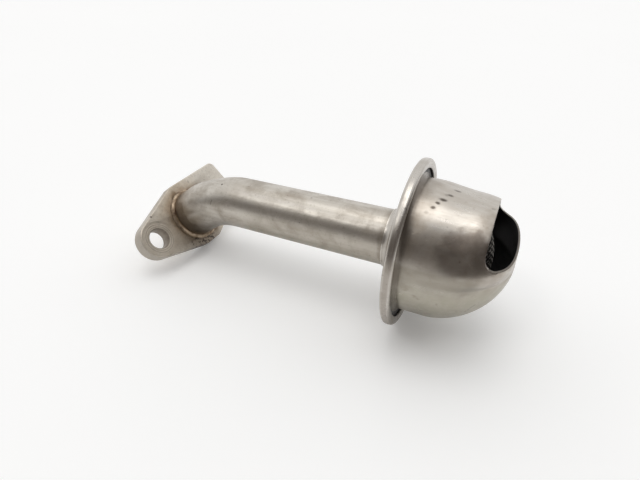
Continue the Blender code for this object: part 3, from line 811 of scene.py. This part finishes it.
def tube_stations():
    """Centre, direction, flattening and radii of the tube's cross sections, strainer end first."""
    neck_end = -NECK_REACH
    shoulder = neck_end - SEAM_GAP
    along = Vector((-1, 0, 0))
    bore = TUBE_RADIUS - TUBE_WALL
    stations = [
        (Vector((neck_end + SPIGOT_LENGTH, 0, 0)), along, 0,
         SPIGOT_RADIUS, SPIGOT_RADIUS - TUBE_WALL),
        (Vector((shoulder, 0, 0)), along, 0, SPIGOT_RADIUS, SPIGOT_RADIUS - TUBE_WALL),
        (Vector((shoulder, 0, 0)), along, 0, TUBE_RADIUS - EDGE_ROUNDING, None),
        (Vector((shoulder - EDGE_ROUNDING, 0, 0)), along, 0, TUBE_RADIUS, None),
    ]
    first = shoulder - SPIGOT_TAPER
    for i in range(STRAIGHT_STEPS):
        x = first + (-STRAIGHT_LENGTH - first) * i / STRAIGHT_STEPS
        stations.append((Vector((x, 0, 0)), along, 0, TUBE_RADIUS, bore))
    for i in range(BEND_STEPS + 1):
        turn = BEND_ANGLE * i / BEND_STEPS
        centre = Vector((-STRAIGHT_LENGTH, 0, 0))
        centre += BEND_RADIUS * Vector((-math.sin(turn), 0, math.cos(turn) - 1))
        heading = Vector((-math.cos(turn), 0, -math.sin(turn)))
        flattening = BEND_FLATTENING * math.sin(math.pi * i / BEND_STEPS) ** 2
        stations.append((centre, heading, flattening, TUBE_RADIUS, bore))
    end = stations[-1][0] + stations[-1][1] * (END_LENGTH + SEAT_DEPTH - FIT_GAP)
    stations.append((end, stations[-1][1], 0, TUBE_RADIUS, bore))
    return stations


def flange_place():
    """Place of the flange: X to the near bolt, Y up its face, Z from its tube side into it."""
    centre, heading = tube_stations()[-2][:2]
    across = Vector((0, -1, 0))
    turn = Matrix((across, heading.cross(across), heading)).transposed().to_4x4()
    return Matrix.Translation(centre + heading * END_LENGTH) @ turn


def build_tube(material):
    """Bent tube, a little flattened outside its bend, with one end swaged to enter the neck."""
    bm = bmesh.new()
    side = Vector((0, 1, 0))
    outer_rows = []
    inner_rows = []
    for centre, heading, flattening, outer, inner in tube_stations():
        outward = side.cross(heading)
        for radius, rows in ((outer, outer_rows), (inner, inner_rows)):
            if radius is None:
                continue
            row = []
            for i in range(TUBE_SEGMENTS):
                turn = 2 * math.pi * i / TUBE_SEGMENTS
                lift = math.cos(turn)
                if lift > 0:
                    lift *= 1 - flattening
                spot = centre + radius * (lift * outward + math.sin(turn) * side)
                row.append(bm.verts.new(spot))
            rows.append(row)
    join_rows(bm, outer_rows + inner_rows[::-1], closed=True)
    return finish_mesh("bent_tube", bm, material, "pickup_tube")


def build_braze(material):
    """Hollow-faced braze fillet with an uneven, puddled foot."""
    inner = TUBE_RADIUS + BRAZE_SEAT

    def section(turn):
        wide = BRAZE_WIDTH + BRAZE_WOBBLE * wobble(turn, 4.0, 3.1)
        high = BRAZE_HEIGHT + BRAZE_WOBBLE * wobble(turn, 3.0, 6.4)
        curve = arc((1, 1), 1, 180, 270, 2 * ARC_STEPS)
        shares = [(BRAZE_TOE + (1 - BRAZE_TOE) * x, BRAZE_TOE + (1 - BRAZE_TOE) * r)
                  for x, r in curve]
        face = [(BRAZE_SEAT + high * x, inner + wide * r) for x, r in shares]
        return [(BRAZE_SEAT, inner), (BRAZE_SEAT, inner + wide), *face, (face[-1][0], inner)]

    place = REST @ flange_place() @ Matrix.Rotation(math.pi / 2, 4, "Y")
    bead = turned(section, BRAZE_SEGMENTS)
    return finish_mesh("braze_bead", bead, material, "flange_braze", place)


def build_flange(material):
    """The flange's solid with its shading smoothed over the round lugs and chamfers."""
    bm = bmesh.new()
    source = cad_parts["mounting_flange"]
    bm.from_mesh(source.data)
    bmesh.ops.remove_doubles(bm, verts=bm.verts[:], dist=0.000001)
    flange = finish_mesh("smooth_flange", bm, material, "mounting_flange", source.matrix_world)
    even_normals(flange)
    return flange


def dome_point(across, along):
    """Place of a wire on the screen: its X and its reach from the middle plane.

    across is the wire's fixed distance from the axis, and along runs from -1 to 1 over the dome.
    """
    half = math.sqrt(max(SCREEN_RADIUS ** 2 - across ** 2, 0.0))
    rise = SCREEN_LENGTH * half / SCREEN_RADIUS
    foot = SCREEN_FRONT + SCREEN_FILLET
    straight = SCREEN_STRAIGHT - foot
    reach = (1 - abs(along)) * (straight + half * math.pi / 2)
    side = 1 if along > 0 else -1
    if reach < straight or half == 0:
        return foot + reach, side * half
    climb = (reach - straight) / half
    return SCREEN_STRAIGHT + rise * math.sin(climb), side * half * math.cos(climb)


def wire_line(number, flip):
    """Centre line of one wire of the weave, as points in the strainer's frame."""
    across = number * WIRE_PITCH
    half = math.sqrt(SCREEN_RADIUS ** 2 - across ** 2)
    length = 2 * (SCREEN_STRAIGHT - SCREEN_FRONT - SCREEN_FILLET + half * math.pi / 2)
    steps = max(8, 2 * round(length / WIRE_PITCH))
    points = []
    for i in range(steps + 1):
        x, reach = dome_point(across, -1 + 2 * i / steps)
        spot = Vector((x, reach, across)) if flip else Vector((x, across, reach))
        centre = Vector((min(x, SCREEN_STRAIGHT), 0, 0))
        outward = (spot - centre).normalized()
        wave = math.sin(math.pi * (reach / WIRE_PITCH + 0.5)) * (1 if number % 2 else -1)
        if flip:
            wave = -wave
        points.append(spot - outward * (SCREEN_SHEET / 2) + outward * wave * WIRE_RISE)
    return points


def add_wire(bm, points):
    """Adds a thin round wire along a line of points."""
    rows = []
    for i, point in enumerate(points):
        heading = (points[min(i + 1, len(points) - 1)] - points[max(i - 1, 0)]).normalized()
        side = heading.cross(Vector((0.31, 0.27, 0.91))).normalized()
        up = side.cross(heading)
        row = []
        for k in range(WIRE_SIDES):
            angle = 2 * math.pi * k / WIRE_SIDES
            out = math.cos(angle) * side + math.sin(angle) * up
            row.append(bm.verts.new(point + WIRE_RADIUS * out))
        rows.append(row)
    join_rows(bm, rows, closed=False)
    bm.faces.new(rows[0][::-1])
    bm.faces.new(rows[-1])


def build_screen(material):
    """Fine woven screen with the plain pressed rim that the rolled edge holds."""
    bend = (SCREEN_FRONT + SCREEN_FILLET, SCREEN_RADIUS + SCREEN_FILLET)
    line = [(SCREEN_FRONT, SCREEN_RIM_RADIUS), *arc(bend, SCREEN_FILLET, 180, 270)]
    line.append((SCREEN_STRAIGHT * 0.35, SCREEN_RADIUS))
    profile = line + offset_line(line, SCREEN_SHEET)[::-1]
    bm = turned(lambda turn: profile, ROUND_SEGMENTS // 2)
    count = int((SCREEN_RADIUS - WIRE_RADIUS) / WIRE_PITCH)
    for number in range(-count, count + 1):
        for flip in (False, True):
            add_wire(bm, wire_line(number, flip))
    return finish_mesh("woven_screen", bm, material, "wire_screen")


build_tube(tube_steel())
build_flange(flange_steel())
build_braze(braze_metal())
build_cover(cover_steel())
build_bell(bell_steel())
build_screen(screen_wire())


def add_floor():
    """Plain pale floor, lifted towards white for what the camera and the metal see of it."""
    bpy.ops.mesh.primitive_plane_add(size=30)
    floor = bpy.context.object
    floor.name = "floor"
    surface = Surface("pale_floor", metallic=0.0)
    path = surface.add("ShaderNodeLightPath")
    seen = surface.math("ADD", path.outputs["Is Camera Ray"],
                        path.outputs["Is Transmission Ray"], True)
    seen = surface.math("ADD", seen, path.outputs["Is Glossy Ray"], True)
    tone = surface.noise(surface.place, 3.0, 2.0, 0.5)
    colour = surface.mix(tone, rgb(0.89, 0.89, 0.885), rgb(0.91, 0.91, 0.905))
    surface.wire(colour, surface.shader.inputs["Base Color"])
    surface.shader.inputs["Roughness"].default_value = 0.9
    surface.shader.inputs["Specular IOR Level"].default_value = 0.1
    surface.shader.inputs["Emission Color"].default_value = rgb(1.0, 1.0, 1.0)
    lift = surface.math("MULTIPLY", seen, FLOOR_LIFT)
    surface.wire(lift, surface.shader.inputs["Emission Strength"])
    floor.data.materials.append(surface.material)


def add_lamps():
    """Wide soft lamps overhead, and lower to the camera's left."""
    for name, (place, strength, angle) in LAMPS.items():
        data = bpy.data.lights.new(name, "SUN")
        data.energy = strength
        data.angle = angle
        data.color = (1.0, 0.985, 0.96)
        lamp = bpy.data.objects.new(name, data)
        lamp.rotation_euler = (-Vector(place)).to_track_quat("-Z", "Y").to_euler()
        bpy.context.scene.collection.objects.link(lamp)


def add_world():
    """Studio surround: bright overhead and behind the part, and dim on the camera's side."""
    world = bpy.data.worlds.new("studio")
    bpy.context.scene.world = world
    world.use_nodes = True
    nodes = world.node_tree.nodes
    links = world.node_tree.links

    def node(kind, **settings):
        made = nodes.new(kind)
        for key, value in settings.items():
            setattr(made, key, value)
        return made

    lean = node("ShaderNodeVectorMath", operation="DOT_PRODUCT")
    lean.inputs[1].default_value = BRIGHT_SIDE
    share = node("ShaderNodeMapRange", interpolation_type="SMOOTHSTEP")
    share.inputs["From Min"].default_value = DIM_AT
    share.inputs["From Max"].default_value = BRIGHT_AT
    tint = node("ShaderNodeMix", data_type="RGBA")
    tint.inputs["A"].default_value = DIM_COLOUR
    tint.inputs["B"].default_value = BRIGHT_COLOUR
    links.new(node("ShaderNodeTexCoord").outputs["Generated"], lean.inputs[0])
    links.new(lean.outputs["Value"], share.inputs["Value"])
    links.new(share.outputs[0], tint.inputs["Factor"])
    surround = nodes["Background"]
    links.new(tint.outputs["Result"], surround.inputs["Color"])
    backdrop = node("ShaderNodeBackground")
    backdrop.inputs["Color"].default_value = rgb(BACKDROP, BACKDROP, BACKDROP)
    path = node("ShaderNodeLightPath").outputs
    behind = node("ShaderNodeMapRange")
    behind.inputs["From Min"].default_value = 0.85
    links.new(share.outputs[0], behind.inputs["Value"])
    mirrored = node("ShaderNodeMath", operation="MULTIPLY")
    links.new(path["Is Glossy Ray"], mirrored.inputs[0])
    links.new(behind.outputs[0], mirrored.inputs[1])
    straight = node("ShaderNodeMath", operation="ADD")
    links.new(path["Is Camera Ray"], straight.inputs[0])
    links.new(path["Is Transmission Ray"], straight.inputs[1])
    seen = node("ShaderNodeMath", operation="ADD", use_clamp=True)
    links.new(straight.outputs[0], seen.inputs[0])
    links.new(mirrored.outputs[0], seen.inputs[1])
    choice = node("ShaderNodeMixShader")
    links.new(seen.outputs[0], choice.inputs[0])
    links.new(surround.outputs[0], choice.inputs[1])
    links.new(backdrop.outputs[0], choice.inputs[2])
    links.new(choice.outputs[0], nodes["World Output"].inputs["Surface"])


def add_camera():
    """Camera at the photo's place."""
    data = bpy.data.cameras.new("camera")
    data.sensor_width = 36.0
    data.lens = 36.0 * FOCAL_PIXELS / PHOTO_WIDTH
    data.clip_start = 0.005
    data.clip_end = 100.0
    camera = bpy.data.objects.new("camera", data)
    axes = Matrix((CAMERA_RIGHT, -CAMERA_DOWN, -CAMERA_FORWARD)).transposed().to_4x4()
    camera.matrix_world = REST @ Matrix.Translation(CAMERA_PLACE) @ axes
    bpy.context.scene.collection.objects.link(camera)
    bpy.context.scene.camera = camera


add_floor()
add_lamps()
add_world()
add_camera()
bpy.context.scene.view_settings.view_transform = "Standard"
